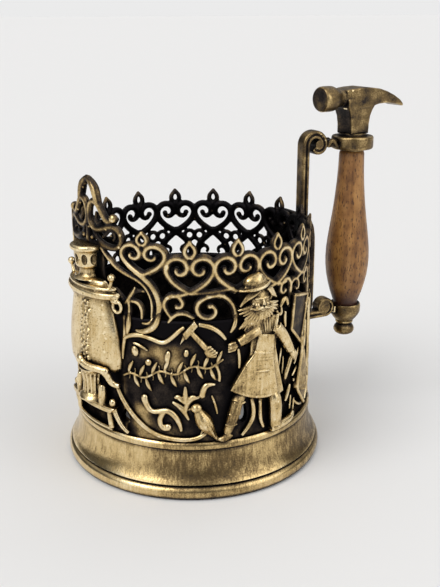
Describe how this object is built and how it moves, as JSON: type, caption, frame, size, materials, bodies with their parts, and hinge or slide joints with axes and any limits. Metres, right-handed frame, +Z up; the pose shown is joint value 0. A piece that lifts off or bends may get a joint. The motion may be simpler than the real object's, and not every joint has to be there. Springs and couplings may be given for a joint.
{
  "type": "tea glass holder",
  "caption": "Cast brass tea glass holder with a pierced heart-and-scroll sleeve, relief figures, a flared foot and a handle made as a claw hammer with a wooden grip.",
  "frame": {"origin": "on the cup's axis at the level of the table", "axes": "+Z up along the cup's axis, +X towards the handle"},
  "size_m": [0.1183, 0.0808, 0.1113],
  "materials": {
    "foot_brass": "brushed antique brass, worn bright",
    "antique_brass": "cast antique brass, bright on raised edges and dark in the recesses",
    "dark_brass": "dark patinated brass",
    "rod_brass": "plain drawn brass",
    "grip_wood": "oiled honey-brown wood with a dark lower end"
  },
  "bodies": {
    "holder": {"foot_ring": "foot_brass", "glass_floor": "dark_brass", "sleeve": "antique_brass", "samovar_crest": "antique_brass", "samovar": "foot_brass", "samovar_tap": "foot_brass", "apron_figure": "antique_brass", "hammer_emblem": "antique_brass", "songbird": "antique_brass", "leaf_sprigs": "antique_brass", "cartouche_rim": "antique_brass", "board": "antique_brass", "handle_plate": "dark_brass", "handle_strap": "dark_brass", "upper_collar": "dark_brass", "lower_collar": "dark_brass", "wooden_grip": "grip_wood", "hammer_head": "dark_brass", "tie_rod": "rod_brass"},
    "nut": {"finial_nut": "dark_brass"}
  },
  "joints": [
    {"name": "nut_turn", "type": "hinge", "parent": "holder", "child": "nut", "pos_m": [0.0579, 0, 0.029], "axis": [0, 0, 1], "continuous": true}
  ]
}
